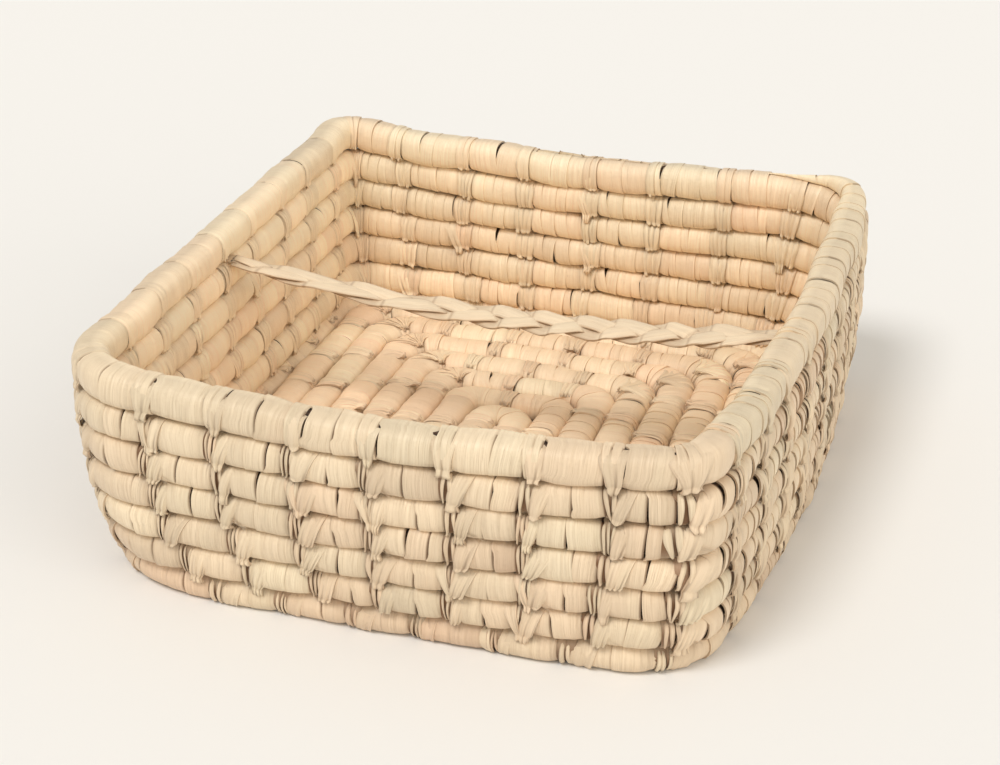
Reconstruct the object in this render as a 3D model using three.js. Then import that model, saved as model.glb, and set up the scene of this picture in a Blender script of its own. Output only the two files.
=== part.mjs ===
// Napkin basket: a low square basket of coiled palm leaf, with a plaited strap across the middle.
//
// One bundle of leaf stalks runs in a spiral from the middle of the floor, out to the foot of the
// wall, up the wall and once more round as the rim. Leaf strips are wrapped round it, and at each
// stitch a strip reaches over the row below and draws it in. The wrapping of each turn is a sleeve
// of its own, and the bundle inside it is one unbroken piece.
//
// Lengths are in millimetres. X runs to the right along the front, Y to the back and Z up. The
// origin is on the table, under the middle of the floor.

import * as THREE from 'three';

// Whole basket, over the rim
const width = 200;
const depth = 223.5;
const height = 75.2;

// Coil
const coilPitch = 11.2; // wished, from row to row, before a whole number of rows is fitted in
const coilThickness = 10.8; // of a wrapped row, through the floor or the wall
const rimThickness = 10.8;
const coreThickness = 6.4; // of the bundle, from corner to corner of its section
const coreClearance = 0.7; // between the bundle and its wrapping
const rowGap = 0.45; // between neighbouring rows
const seatDepth = 0.5; // by which the rows of the floor are pressed flat on the table

// Plan of the rows
const footInset = 4.6; // of the outermost row of the floor, within the rim
const footRadii = { backLeft: 17, frontLeft: 30, frontRight: 18, climb: 17 }; // of its corners
const rimRadii = { backLeft: 9, frontLeft: 17, frontRight: 9, climb: 15 };
const climbLength = 60; // stretch round the back right corner where each row climbs to the next
const endThickness = 1.6; // of the coil's tapered end, where it stops

// How far the middle of each side swells outward, at the foot and at the rim, and how far the
// middle of each side of the rim hangs lower than the corners
const footSwell = { back: 3, left: 0.5, front: 2.4, right: 8 };
const rimSwell = { back: -2.5, left: 2, front: 7.3, right: 5.5 };
const rimDip = { back: 3.5, left: 1.8, front: 2.1, right: 3 };

// Stitches
const stitchPitch = 23; // wished, along a row
const stitchWidth = 9; // of a strip where it leaves its own row
const stitchReach = 4; // of a strip below the bottom of its own row
const stitchDepth = 0.65; // by which a stitch draws its row in
const stitchLift = 1; // of the strip's tip over the face of the row below

// Plaited strap
const strandWidth = 3.4;
const strandThickness = 1.3;
const plaitSwing = 3; // of each strand, sideways from the middle of the plait
const plaitRise = 1.95; // of each strand, up and down from it
const plaitPeriod = 72; // wished, along the strap
const gatherLength = 16; // at each end, where the strands draw together
const strapSag = 7; // at mid span
const strapClearance = 0.5; // from its ends to the rim
const tailWidth = 5.4; // of the strands' ends, gathered and tucked in under the rim
const tailThickness = 1.7;
const tailDepth = 4.6; // from the inside face of the rim to the tip of the tail

// Shares
const footCurve = 3; // how quickly the wall stands up from its foot
const flatShare = 0.5; // width of the flat under a floor row, of the row
const insideShare = 0.75; // most of a bend's radius that the coil may fill on its inside
const gatherShare = 0.62; // of the plait's full section, left at its ends
const tipShare = 0.45; // of the tail's thickness, left at its tip
const shoulderShares = { down: 0.95, out: 0.62 }; // inner corner of a stitch, of the row's half sizes
const browShare = 0.3; // height of a row's upper corner at a stitch, of the row's half height
const startShare = 0.25; // wrapping past the bundle's start, of the coil's thickness
const bundleEndShare = 1 / 3; // of the right side, that the bundle still fills below the taper

// Counts
const wallBends = 4; // flat pieces round each corner of the wall
const floorBends = 2; // the same on the inner turns of the floor
const bundleBends = 3; // most of the same for the bundle and for the bore round it
const wallSteps = 4; // straight pieces of the bundle along each side of the wall
const floorSteps = 2;
const plaitSteps = 12; // pieces of a strand for each period
const taperSteps = 3; // pieces of the rim's tapered end along the back
const searchSteps = 30; // halvings that find where the taper ends
const slopeSteps = 200; // parts of a leg, of which two give the coil's direction

// The legs of a turn, in the coil's order
const legNames = ['back', 'backLeft', 'left', 'frontLeft', 'front', 'frontRight', 'right', 'climb'];
const legs = legNames.length;
const leftSide = legNames.indexOf('left');
const frontSide = legNames.indexOf('front');
const frontRightCorner = legNames.indexOf('frontRight');
const rightSide = legNames.indexOf('right');
const climbCorner = legNames.indexOf('climb');

// Worked out from the above
const shorter = Math.min(width, depth);
const extraWidth = (width - shorter) / 2; // of half the width over half the shorter size
const extraDepth = (depth - shorter) / 2;
const rimHalf = (shorter - rimThickness) / 2;
const floorHalf = rimHalf - footInset;
const floorTurns = Math.round(floorHalf / coilPitch);
const floorPitch = floorHalf / floorTurns;
const innerRadius = floorPitch / 2; // of the turn back round the run in the middle of the floor
const firstKey = extraWidth > 0 ? frontSide : rightSide; // the run lies along the longer size
const seatHeight = coilThickness / 2 - seatDepth;
const rimHeight = height - rimThickness / 2;
const rimStep = (coilThickness + rimThickness) / 2 + rowGap;
const wallRise = rimHeight - rimStep - seatHeight;
const wallTurns = Math.round(wallRise / coilPitch);
const wallStep = wallRise / wallTurns;
const rimRow = floorTurns + wallTurns + 1;
const rimKey = rimRow * legs;
const sides = legNames.filter((name, leg) => leg % 2 === 0);

const { clamp, lerp, smoothstep } = THREE.MathUtils;
const up = new THREE.Vector3(0, 0, 1);

const leafColours = [0xdcc7a2, 0xd9c19b, 0xe0cda9, 0xd7bd98, 0xdec9a6];

function leafMaterial(colour) {
  return new THREE.MeshStandardMaterial({ color: colour, roughness: 0.62, metalness: 0 });
}

// Rows

// Sizes of a row: 0 is the run in the middle of the floor, floorTurns the outermost row of the
// floor and rimRow the rim. A row between two whole numbers is on its climb from one to the next.
function rowSizes(row) {
  const level = Math.min(row, rimRow);
  const onFloor = level <= floorTurns;
  const rise = clamp((level - floorTurns) / (rimRow - floorTurns), 0, 1);
  const spread = clamp(level / floorTurns, 0, 1) ** 2;
  const ofFoot = (1 - rise) ** footCurve;
  const half = onFloor ? level * floorPitch : rimHalf - footInset * ofFoot;
  const fromCentre = clamp((level - 1) / (floorTurns - 1), 0, 1);
  const radii = {};
  for (const [corner, footRadius] of Object.entries(footRadii)) {
    radii[corner] = onFloor
      ? lerp(innerRadius, footRadius, fromCentre)
      : lerp(rimRadii[corner], footRadius, ofFoot);
  }
  const swell = {};
  const dip = {};
  for (const side of sides) {
    swell[side] = lerp(footSwell[side] * spread, rimSwell[side], rise);
    dip[side] = rimDip[side] * rise;
  }
  return { halfWidth: half + extraWidth, halfDepth: half + extraDepth, radii, swell, dip };
}

function rowHeight(level) {
  const wallLevel = clamp(level - floorTurns, 0, wallTurns);
  const rimPart = clamp(level - floorTurns - wallTurns, 0, 1);
  return seatHeight + wallLevel * wallStep + rimPart * rimStep;
}

function rowHalf(level) {
  const rimPart = clamp(level - floorTurns - wallTurns, 0, 1);
  return lerp(coilThickness, rimThickness, rimPart) / 2;
}

// One leg of a turn in plan. Sides are the even legs and corners the odd ones, from the back side
// round by the left, the front and the right. The last corner leads on to the next turn's back.
function planLeg(row, leg) {
  const here = rowSizes(row);
  const before = rowSizes(row - 1);
  const after = rowSizes(row + 1);
  const climbIn = (before.radii.climb + here.radii.climb) / 2;
  const climbOut = (here.radii.climb + after.radii.climb) / 2;
  const { backLeft, frontLeft, frontRight } = here.radii;
  const x = here.halfWidth;
  const y = here.halfDepth;
  const beforeRun = (floorPitch + rowGap) / 2;
  const startsHere = row * legs + leg === firstKey;
  const fromLeft = startsHere ? beforeRun - after.halfWidth : frontLeft - x;
  const fromFront = startsHere ? beforeRun - after.halfDepth : frontRight - y;
  const lines = {
    back: [before.halfWidth - climbIn, y, backLeft - x, y],
    left: [-x, y - backLeft, -x, frontLeft - y],
    front: [fromLeft, -y, x - frontRight, -y],
    right: [x, fromFront, x, after.halfDepth - climbOut],
  };
  const bends = {
    backLeft: [backLeft - x, y - backLeft, backLeft],
    frontLeft: [frontLeft - x, frontLeft - y, frontLeft],
    frontRight: [x - frontRight, frontRight - y, frontRight],
    climb: [x - climbOut, after.halfDepth - climbOut, climbOut],
  };
  const name = legNames[leg];
  if (leg % 2 === 0) {
    const [fromX, fromY, toX, toY] = lines[name];
    const length = Math.hypot(toX - fromX, toY - fromY);
    const at = (t) => new THREE.Vector3(lerp(fromX, toX, t), lerp(fromY, toY, t), 0);
    return { length, radius: Infinity, at };
  }
  const [centreX, centreY, radius] = bends[name];
  const quarter = Math.PI / 2;
  const start = ((leg + 1) / 2) * quarter;
  const at = (t) => {
    const angle = start + t * quarter;
    return new THREE.Vector3(centreX + radius * Math.cos(angle), centreY + radius * Math.sin(angle), 0);
  };
  return { length: radius * quarter, radius, at };
}

// How far a point of the coil is through the climb that it is on, from 0 to 1
function climbShare(row, leg, t) {
  const cornerRow = leg === 0 ? row - 1 : row;
  const corner = planLeg(cornerRow, climbCorner);
  const stretch = Math.min(climbLength, Math.max(rowSizes(cornerRow).halfWidth, innerRadius));
  let past = (t - 1 / 2) * corner.length;
  if (leg === 0) past = corner.length / 2 + t * planLeg(row, leg).length;
  if (leg === rightSide) past = -corner.length / 2 - (1 - t) * planLeg(row, leg).length;
  return smoothstep(past / stretch + 1 / 2, 0, 1);
}

function climbingLevel(row, leg, t) {
  if (leg === 0) return row - 1 + climbShare(row, leg, t);
  if (leg >= rightSide) return row + climbShare(row, leg, t);
  return row;
}

// Sides of a real basket are not straight: their middles swell out and hang a little
function shapeSides(point, level) {
  const { halfWidth, halfDepth, swell, dip } = rowSizes(level);
  if (Math.min(halfWidth, halfDepth) <= 0) return point;
  const x = clamp(point.x / halfWidth, -1, 1);
  const y = clamp(point.y / halfDepth, -1, 1);
  const acrossShare = (1 - y * y) * Math.abs(x) ** 3;
  const alongShare = (1 - x * x) * Math.abs(y) ** 3;
  const xSide = x > 0 ? 'right' : 'left';
  const ySide = y > 0 ? 'back' : 'front';
  point.x += Math.sign(x) * acrossShare * swell[xSide];
  point.y += Math.sign(y) * alongShare * swell[ySide];
  point.z -= acrossShare * dip[xSide] + alongShare * dip[ySide];
  return point;
}

// Where the coil's middle line is, and half the coil's height there. A key counts the legs of the
// spiral, and t runs from 0 to 1 along a leg. Past its last full leg the rim thins out between its
// own climbing start and the level of its top.
function crossing(key, t) {
  const row = Math.floor(key / legs);
  const leg = key - row * legs;
  const ending = key >= rimKey + rightSide;
  const level = ending ? rimRow : climbingLevel(row, leg, t);
  const centre = shapeSides(planLeg(row, leg).at(t), level);
  if (!ending) {
    centre.z += rowHeight(level);
    return { centre, half: rowHalf(level) };
  }
  const climb = leg === 0 ? climbShare(rimRow, 0, t) : climbShare(rimRow - 1, leg, t);
  const below = rimRow - 1 + climb;
  const topOfClimb = rowHeight(below) + rowHalf(below);
  const room = height - topOfClimb - rowGap;
  centre.z += height - room / 2;
  return { centre, half: room / 2 };
}

function tangentAt(key, t) {
  const low = Math.max(0, t - 1 / slopeSteps);
  const high = Math.min(1, t + 1 / slopeSteps);
  const from = crossing(key, low).centre;
  return crossing(key, high).centre.sub(from).normalize();
}

// Over the last turn of the wall lies the rim, and over the rim's start its own tapered end
function hasRowAbove(key, t) {
  const keyAbove = key + legs;
  if (keyAbove > rimKey + legs) return false;
  return keyAbove < rimKey + rightSide || crossing(keyAbove, t).half > endThickness / 2;
}

// The frame of the coil's section: directions to the rows on both sides, and how far it reaches
function sectionFrame(key, t) {
  const here = crossing(key, t);
  const tangent = tangentAt(key, t);
  const reachTo = (otherKey) => {
    const other = crossing(otherKey, t);
    const offset = other.centre.clone().sub(here.centre);
    offset.addScaledVector(tangent, -offset.dot(tangent));
    const reach = ((offset.length() - rowGap) * here.half) / (here.half + other.half);
    return { direction: offset.normalize(), reach };
  };
  const down = reachTo(key - legs);
  const bend = planLeg(Math.floor(key / legs), ((key % legs) + legs) % legs).radius;
  down.reach = Math.min(down.reach, insideShare * bend);
  let above = { direction: down.direction.clone().negate(), reach: here.half };
  if (hasRowAbove(key, t)) above = reachTo(key + legs);
  const outward = tangent.clone().cross(up).normalize();
  const upward = outward.clone().cross(tangent).normalize();
  const angleOf = (direction) => Math.atan2(direction.dot(upward), direction.dot(outward));
  const turn = Math.PI * 2;
  const downAngle = (angleOf(down.direction) + turn) % turn;
  let upAngle = (angleOf(above.direction) + turn) % turn;
  while (upAngle <= downAngle) upAngle += turn;
  const place = (x, z) => here.centre.clone().addScaledVector(outward, x).addScaledVector(upward, z);
  const polar = (angle, reach) => place(reach * Math.cos(angle), reach * Math.sin(angle));
  return { ...here, down, above, outward, downAngle, upAngle, turn, place, polar };
}

// Corners of the wrapped coil's section, from the row below, round by the outside, to the row
// above, and back by the inside
function coilSection(key, t, stitched) {
  const frame = sectionFrame(key, t);
  const row = Math.floor(key / legs);
  const { down, above, downAngle, upAngle, turn, half, place, polar } = frame;
  const inset = stitched ? stitchDepth : 0;
  const around = (corners, from, to, startReach, endReach, middle) => {
    const points = [];
    for (let corner = 1; corner <= corners; corner += 1) {
      const share = corner / (corners + 1);
      const bulge = Math.sin(share * Math.PI) ** 2;
      const reach = lerp(lerp(startReach, endReach, share), middle, bulge);
      points.push(polar(lerp(from, to, share), reach));
    }
    return points;
  };
  const outside = around(3, downAngle, upAngle, down.reach, above.reach, half);
  const inside = around(2, upAngle, downAngle + turn, above.reach, down.reach, half - inset);
  if (row < floorTurns) {
    const flat = flatShare * half;
    outside.splice(0, 3, place(-flat, -seatHeight), place(0, -seatHeight), place(flat, -seatHeight));
    for (const point of outside) point.z = 0;
  } else if (stitched && row > floorTurns) {
    const face = half - stitchDepth;
    const lift = face + stitchLift;
    const shoulder = shoulderShares.out * half;
    outside.splice(
      0, 3,
      place(shoulder, -shoulderShares.down * down.reach),
      place(lift, -down.reach - stitchReach),
      place(face, browShare * above.reach),
    );
  }
  const corners = [polar(downAngle, down.reach), ...outside, polar(upAngle, above.reach), ...inside];
  for (const corner of corners) corner.z = Math.max(corner.z, 0);
  return corners;
}

function bundleSection(key, t, reach) {
  const { downAngle, upAngle, turn, polar } = sectionFrame(key, t);
  const angles = [downAngle, (downAngle + upAngle) / 2, upAngle, (upAngle + downAngle + turn) / 2];
  return angles.map((angle) => polar(angle, reach));
}

// Meshes

// Joins rings of points with as many corners each. Seen along the way that the rings follow each
// other, a ring runs counter-clockwise. A skin that lines a bore has its faces turned round.
function skin(triangles, rings, lining = false) {
  for (let ring = 0; ring + 1 < rings.length; ring += 1) {
    const near = rings[ring];
    const far = rings[ring + 1];
    for (let corner = 0; corner < near.length; corner += 1) {
      const next = (corner + 1) % near.length;
      const faces = [
        [near[corner], far[next], near[next]],
        [near[corner], far[corner], far[next]],
      ];
      for (const face of faces) triangles.push(lining ? face.reverse() : face);
    }
  }
}

function cap(triangles, ring, atStart) {
  for (let corner = 1; corner + 1 < ring.length; corner += 1) {
    const face = [ring[0], ring[corner], ring[corner + 1]];
    triangles.push(atStart ? face : face.reverse());
  }
}

// The face between a section's outline and the bore within it. Going round the outline, the bore's
// next corner takes over at each of the corners named in takeovers.
function collar(triangles, outline, bore, atStart) {
  const takeovers = [1, 3, 5, 6];
  const faces = [];
  let inner = 0;
  for (let corner = 0; corner < outline.length; corner += 1) {
    if (takeovers.includes(corner)) {
      const next = (inner + 1) % bore.length;
      faces.push([outline[corner], bore[next], bore[inner]]);
      inner = next;
    }
    faces.push([outline[corner], outline[(corner + 1) % outline.length], bore[inner]]);
  }
  for (const face of faces) triangles.push(atStart ? face : face.reverse());
}

function meshOf(name, triangles, colour) {
  const geometry = new THREE.BufferGeometry().setFromPoints(triangles.flat());
  geometry.computeVertexNormals();
  const mesh = new THREE.Mesh(geometry, leafMaterial(colour));
  mesh.name = name;
  return mesh;
}

// Stations of the coil

function bendsOn(row) {
  return row * 2 < floorTurns ? floorBends : wallBends;
}

function stitchesOn(row, leg) {
  const countedRow = row > floorTurns ? rimRow : row;
  const length = planLeg(countedRow, leg).length;
  return Math.max(1, Math.round(length / stitchPitch));
}

// Places along a side: each stitch of a wall row has its middle and both its edges
function sidePlaces(row, leg) {
  if (row < floorTurns) {
    const steps = row * 2 < floorTurns ? floorSteps : wallSteps;
    return Array.from({ length: steps }, (_, step) => ({ t: step / steps, stitched: step % 2 === 1 }));
  }
  const count = stitchesOn(row, leg);
  const edge = stitchWidth / 2 / planLeg(row, leg).length;
  const places = [{ t: 0, stitched: false }];
  for (let stitch = 0; stitch < count; stitch += 1) {
    const middle = (stitch + 1 / 2) / count;
    places.push({ t: middle - edge, stitched: false });
    places.push({ t: middle, stitched: true });
    places.push({ t: middle + edge, stitched: false });
  }
  return places;
}

function evenPlaces(steps, stitchedStep) {
  const places = [];
  for (let step = 0; step < steps; step += 1) {
    places.push({ t: step / steps, stitched: step === stitchedStep });
  }
  return places;
}

// Places along the spiral from one key to another, each with its key, its t and whether a stitch
// is there. The last place of a leg is left out, because the next leg starts at it.
function stations(firstKey, lastKey, forBundle) {
  const places = [];
  for (let key = firstKey; key <= lastKey; key += 1) {
    const row = Math.floor(key / legs);
    const leg = key - row * legs;
    if (planLeg(row, leg).length < rowGap) continue;
    const bends = bendsOn(row);
    let onLeg = sidePlaces(row, leg);
    if (forBundle) onLeg = evenPlaces(row < floorTurns ? floorSteps : wallSteps, -1);
    if (leg % 2 === 1) onLeg = evenPlaces(forBundle ? Math.min(bends, bundleBends) : bends, bends / 2);
    for (const place of onLeg) places.push({ key, ...place });
  }
  return places;
}

// The last place of a turn, a gap short of where the next turn starts
function endOfTurn(row) {
  const gapShare = rowGap / planLeg(row, climbCorner).length;
  return { key: row * legs + climbCorner, t: 1 - gapShare, stitched: false };
}

const boreReach = coreThickness / 2 + coreClearance;

function sleeve(name, startKey, row, colour) {
  const lastKey = row * legs + climbCorner;
  const outer = [...stations(startKey, lastKey, false), endOfTurn(row)];
  const inner = [...stations(startKey, lastKey, true), endOfTurn(row)];
  const outline = outer.map(({ key, t, stitched }) => coilSection(key, t, stitched));
  const bore = inner.map(({ key, t }) => bundleSection(key, t, boreReach));
  const triangles = [];
  if (row === 0) {
    const skipped = (startShare * coilThickness) / planLeg(0, firstKey).length;
    bore[0] = bundleSection(firstKey, skipped, boreReach);
    cap(triangles, outline[0], true);
    cap(triangles, bore[0], false);
  } else {
    collar(triangles, outline[0], bore[0], true);
  }
  skin(triangles, outline);
  skin(triangles, bore, true);
  collar(triangles, outline.at(-1), bore.at(-1), false);
  return meshOf(name, triangles, colour);
}

// Where along the back the rim's end has thinned to nothing
function taperEnd() {
  let low = 0;
  let high = 1;
  for (let step = 0; step < searchSteps; step += 1) {
    const middle = (low + high) / 2;
    if (crossing(rimKey + legs, middle).half > endThickness / 2) low = middle;
    else high = middle;
  }
  return low;
}

function rimSleeve(colour) {
  const outer = stations(rimKey, rimKey + climbCorner, false);
  const inner = stations(rimKey, rimKey + frontRightCorner, true);
  const end = taperEnd();
  for (let step = 0; step <= taperSteps; step += 1) {
    outer.push({ key: rimKey + legs, t: (end * step) / taperSteps, stitched: false });
  }
  inner.push({ key: rimKey + rightSide, t: 0 });
  inner.push({ key: rimKey + rightSide, t: bundleEndShare });
  const outline = outer.map(({ key, t, stitched }) => {
    return coilSection(key, t, stitched && key < rimKey + climbCorner);
  });
  const bore = inner.map(({ key, t }) => bundleSection(key, t, boreReach));
  const triangles = [];
  collar(triangles, outline[0], bore[0], true);
  skin(triangles, outline);
  skin(triangles, bore, true);
  cap(triangles, outline.at(-1), false);
  cap(triangles, bore.at(-1), true);
  return meshOf('wrap_rim', triangles, colour);
}

// The bundle, one unbroken tube from the middle of the floor into the end of the rim
function coreBundle() {
  const reach = coreThickness / 2;
  const places = stations(firstKey, rimKey + frontRightCorner, true);
  const clearStart = startShare * coilThickness + coreClearance;
  const clearEnd = coreClearance / planLeg(rimRow, rightSide).length;
  places[0].t = clearStart / planLeg(0, firstKey).length;
  places.push({ key: rimKey + rightSide, t: 0 });
  places.push({ key: rimKey + rightSide, t: bundleEndShare - clearEnd });
  const rings = places.map(({ key, t }) => bundleSection(key, t, reach));
  const triangles = [];
  cap(triangles, rings[0], true);
  skin(triangles, rings);
  cap(triangles, rings.at(-1), false);
  let leastGap = Infinity;
  const apart = 2 * floorBends + 2 * floorSteps;
  for (let one = 0; one < rings.length; one += 1) {
    for (let other = one + apart; other < rings.length; other += 1) {
      for (const point of rings[one]) {
        for (const facing of rings[other]) leastGap = Math.min(leastGap, point.distanceTo(facing));
      }
    }
  }
  console.log(`Least gap of the bundle to itself: ${leastGap.toFixed(2)} mm`);
  return meshOf('core_bundle', triangles, 0x8a6a45);
}

// Plaited strap

// The strap is held in the groove under the rim, at the middle of the left and right sides
function strapEnd(leg) {
  const rim = crossing(rimKey + leg, 1 / 2);
  const rowBelow = sectionFrame(rimKey - legs + leg, 1 / 2);
  const grooveHeight = rowBelow.centre.z + rowBelow.above.reach + rowGap / 2;
  const inward = -Math.sign(rim.centre.x);
  const face = rim.centre.x + inward * rimThickness / 2;
  return { x: face + inward * strapClearance, face, inward, z: grooveHeight };
}

const leftEnd = strapEnd(leftSide);
const rightEnd = strapEnd(rightSide);
const strapSpan = rightEnd.x - leftEnd.x;
const strapHeight = (leftEnd.z + rightEnd.z) / 2;

function strandRing(share, phase) {
  const along = share * strapSpan;
  const toEnd = Math.min(along, strapSpan - along);
  const gather = lerp(gatherShare, 1, smoothstep(toEnd / gatherLength, 0, 1));
  const periods = Math.round((2 * strapSpan) / plaitPeriod) / 2;
  const angle = 2 * Math.PI * periods * share + phase;
  const sag = strapSag * (1 - (2 * share - 1) ** 2);
  const middle = new THREE.Vector3(
    leftEnd.x + along,
    gather * plaitSwing * Math.sin(angle),
    strapHeight - sag + gather * plaitRise * Math.sin(2 * angle),
  );
  const halfWidth = (gather * strandWidth) / 2;
  const halfThickness = (gather * strandThickness) / 2;
  const at = (y, z) => middle.clone().add(new THREE.Vector3(0, y, z));
  return [
    at(-halfWidth, 0),
    at(-halfWidth / 2, halfThickness),
    at(halfWidth / 2, halfThickness),
    at(halfWidth, 0),
    at(halfWidth / 2, -halfThickness),
    at(-halfWidth / 2, -halfThickness),
  ];
}

function strand(name, phase, colour) {
  const steps = Math.round((plaitSteps * strapSpan) / plaitPeriod);
  const rings = [];
  for (let step = 0; step <= steps; step += 1) rings.push(strandRing(step / steps, phase));
  const triangles = [];
  cap(triangles, rings[0], true);
  skin(triangles, rings);
  cap(triangles, rings.at(-1), false);
  return meshOf(name, triangles, colour);
}

// The ends of the three strands, gathered flat and tucked into the groove under the rim
function tail(name, end, colour) {
  const ring = (x, thickness) => {
    const halfWidth = tailWidth / 2;
    const half = thickness / 2;
    return [[-halfWidth, -half], [-halfWidth, half], [halfWidth, half], [halfWidth, -half]]
      .map(([y, z]) => new THREE.Vector3(x, y, end.z + z));
  };
  const outerX = end.face - end.inward * tailDepth;
  const nearWall = ring(outerX, tipShare * tailThickness);
  const middle = ring(end.face - end.inward * tailDepth / 2, tailThickness);
  const nearStrap = ring(end.face + end.inward * (strapClearance - rowGap), tailThickness);
  const rings = end.inward > 0 ? [nearWall, middle, nearStrap] : [nearStrap, middle, nearWall];
  const triangles = [];
  cap(triangles, rings[0], true);
  skin(triangles, rings);
  cap(triangles, rings.at(-1), false);
  return meshOf(name, triangles, colour);
}

// Assembly

const group = new THREE.Group();

group.add(coreBundle());
group.add(sleeve('wrap_floor_centre', firstKey, 0, leafColours[0]));
for (let row = 1; row < rimRow; row += 1) {
  const onWall = row > floorTurns;
  const name = onWall ? `wrap_wall_${row - floorTurns}` : `wrap_floor_${row}`;
  group.add(sleeve(name, row * legs, row, leafColours[row % leafColours.length]));
}
group.add(rimSleeve(leafColours[2]));

const third = (2 * Math.PI) / 3;
group.add(strand('strap_strand_1', 0, 0xe9dabd));
group.add(strand('strap_strand_2', third, 0xe5d4b4));
group.add(strand('strap_strand_3', 2 * third, 0xecdec4));
group.add(tail('strap_tail_left', leftEnd, 0xe2cfae));
group.add(tail('strap_tail_right', rightEnd, 0xe2cfae));

export default group;
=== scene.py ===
"""The looks of the napkin basket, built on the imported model.

The coil is laid out with the same row formulas as the part's source. Every leaf strip is a strip of
its own: broad wraps round the coil, narrow folded strips at each stitch, and fan-shaped leaves that
reach over the groove to the next row. Lengths are in millimetres until a mesh is made.
"""
import math

import bpy
import numpy as np
from mathutils import Matrix, Vector


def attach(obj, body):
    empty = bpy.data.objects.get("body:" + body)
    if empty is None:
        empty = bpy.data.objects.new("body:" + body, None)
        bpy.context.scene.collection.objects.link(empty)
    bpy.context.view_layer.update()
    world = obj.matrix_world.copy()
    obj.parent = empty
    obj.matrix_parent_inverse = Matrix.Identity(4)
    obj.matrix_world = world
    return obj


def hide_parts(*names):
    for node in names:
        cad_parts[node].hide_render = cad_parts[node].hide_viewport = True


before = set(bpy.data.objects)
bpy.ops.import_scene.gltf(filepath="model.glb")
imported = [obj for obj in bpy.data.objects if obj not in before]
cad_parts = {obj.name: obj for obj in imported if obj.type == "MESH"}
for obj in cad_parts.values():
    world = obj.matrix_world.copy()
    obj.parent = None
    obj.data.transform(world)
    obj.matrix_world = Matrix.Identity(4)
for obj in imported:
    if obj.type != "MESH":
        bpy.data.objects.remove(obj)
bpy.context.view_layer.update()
RANDOM = np.random.default_rng(2691)
uniform, normal = RANDOM.uniform, RANDOM.normal
MM = 0.001
TURN = 2 * math.pi

# Camera, at the photo's viewing angle
FOCAL_PIXELS = 2534.17
PHOTO_WIDTH = 1000
SENSOR_MM = 36.0
CLIP_METRES = (0.01, 50)
CAMERA_MM = (235.181, -698.894, 393.151)
CAMERA_RIGHT = (0.947979, 0.318321, 0.002798)
CAMERA_DOWN = (0.142507, -0.416502, -0.897896)
CAMERA_FORWARD = (-0.284654, 0.851585, -0.440198)


def add_object(name, data):
    made = bpy.data.objects.new(name, data)
    bpy.context.scene.collection.objects.link(made)
    return made


def make_camera():
    data = bpy.data.cameras.new("camera")
    data.sensor_width = SENSOR_MM
    data.lens = FOCAL_PIXELS * SENSOR_MM / PHOTO_WIDTH
    data.clip_start, data.clip_end = CLIP_METRES
    camera = add_object("camera", data)
    place = [length * MM for length in CAMERA_MM]
    columns = Vector(CAMERA_RIGHT), -Vector(CAMERA_DOWN), -Vector(CAMERA_FORWARD), place
    matrix = Matrix.Identity(4)
    for column, values in enumerate(columns):
        for line in range(3):
            matrix[line][column] = values[line]
    camera.matrix_world = matrix
    bpy.context.scene.camera = camera


make_camera()

# Rows, as in the part's source
WIDTH, DEPTH, HEIGHT = 200, 223.5, 75.2
COIL_PITCH, COIL_THICKNESS, RIM_THICKNESS = 11.2, 10.8, 10.8
ROW_GAP, SEAT_DEPTH = 0.45, 0.5
FOOT_INSET, FOOT_CURVE = 4.6, 3
FOOT_RADII = np.array([17, 30, 18, 17])  # back left, front left, front right, climb
RIM_RADII = np.array([9, 17, 9, 12])
CLIMB_LENGTH, END_THICKNESS, INSIDE_SHARE = 60, 1.6, 0.75
FOOT_SWELL = {"back": 3, "left": 0.5, "front": 2.4, "right": 8}
RIM_SWELL = {"back": -2.5, "left": 2, "front": 7.3, "right": 5.5}
RIM_DIP = {"back": 3.5, "left": 1.8, "front": 2.1, "right": 3}
SIDE_FOCUS = 3  # power that keeps the swell and dip of a side to the rows along it
STITCH_PITCH = 23
LEGS, LEFT_SIDE, FRONT_SIDE, RIGHT_SIDE, CLIMB_CORNER = 8, 2, 4, 6, 7
FIRST_KEY = RIGHT_SIDE

RIM_HALF_WIDTH = (WIDTH - RIM_THICKNESS) / 2
FLOOR_HALF_WIDTH = RIM_HALF_WIDTH - FOOT_INSET
FLOOR_TURNS = round(FLOOR_HALF_WIDTH / COIL_PITCH)
FLOOR_PITCH = FLOOR_HALF_WIDTH / FLOOR_TURNS
INNER_RADIUS = FLOOR_PITCH / 2
DEPTH_OVER_WIDTH = (DEPTH - WIDTH) / 2
SEAT_HEIGHT = COIL_THICKNESS / 2 - SEAT_DEPTH
RIM_HEIGHT = HEIGHT - RIM_THICKNESS / 2
RIM_STEP = (COIL_THICKNESS + RIM_THICKNESS) / 2 + ROW_GAP
WALL_RISE = RIM_HEIGHT - RIM_STEP - SEAT_HEIGHT
WALL_TURNS = round(WALL_RISE / COIL_PITCH)
WALL_STEP = WALL_RISE / WALL_TURNS
RIM_ROW = FLOOR_TURNS + WALL_TURNS + 1
RIM_KEY = RIM_ROW * LEGS
HALF = COIL_THICKNESS / 2


def smooth(x, low=0.0, high=1.0):
    t = np.clip((np.asarray(x, float) - low) / (high - low), 0, 1)
    return t * t * (3 - 2 * t)


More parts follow.
